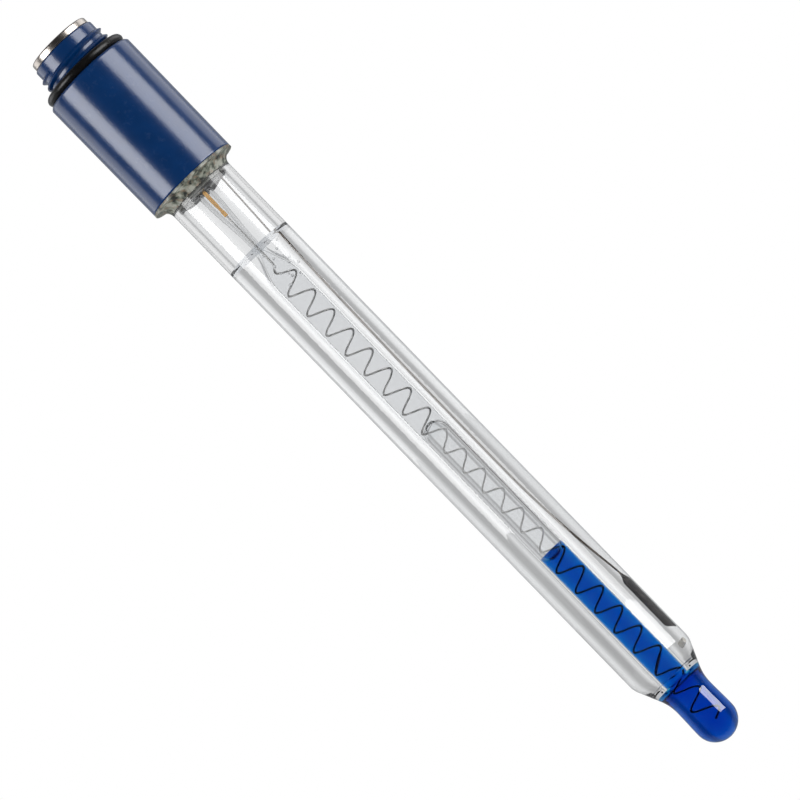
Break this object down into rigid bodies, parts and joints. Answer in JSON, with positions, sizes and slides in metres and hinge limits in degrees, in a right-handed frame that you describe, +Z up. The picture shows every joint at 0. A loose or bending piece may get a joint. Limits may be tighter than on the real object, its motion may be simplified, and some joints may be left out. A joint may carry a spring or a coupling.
{
  "type": "ph electrode",
  "caption": "Combination pH electrode: clear glass shaft with a coiled silver wire and blue buffer, blown bulb tip, blue screw head with O-ring and plug contacts",
  "frame": {"origin": "middle of the shaft's free straight wall, on its axis", "axes": "+Z runs up the shaft to the contacts, -Z down to the bulb, +X to the side of the reference wire; the printed side faces -Y"},
  "size_m": [0.0164, 0.0164, 0.1514],
  "materials": {
    "head_blue": "satin moulded plastic",
    "black_rubber": "matte moulded rubber",
    "nickel": "turned and nickel plated",
    "insulator": "plain turned plastic",
    "gold": "gold plated",
    "cement": "cast, slightly clouded",
    "resin": "cast resin",
    "clear_glass": "fire polished",
    "ceramic": "unglazed porous ceramic",
    "membrane_glass": "fire polished",
    "blue_buffer": "clear blue liquid",
    "silver": "drawn silver wire",
    "copper": "drawn wire",
    "silver_chloride": "cast salt, darkened by light"
  },
  "bodies": {
    "root": {"head_shell": "head_blue", "neck_o_ring": "black_rubber", "contact_ring": "nickel", "contact_bush": "insulator", "centre_pin": "gold", "tube_cement": "cement", "head_potting": "resin", "outer_tube": "clear_glass", "ceramic_junction": "ceramic", "inner_stem": "clear_glass", "ph_bulb": "membrane_glass", "buffer_fill": "blue_buffer", "measuring_wire": "silver", "gold_ferrule": "gold", "signal_lead": "copper", "reference_wire": "silver", "reference_element": "silver_chloride"}
  },
  "joints": []
}
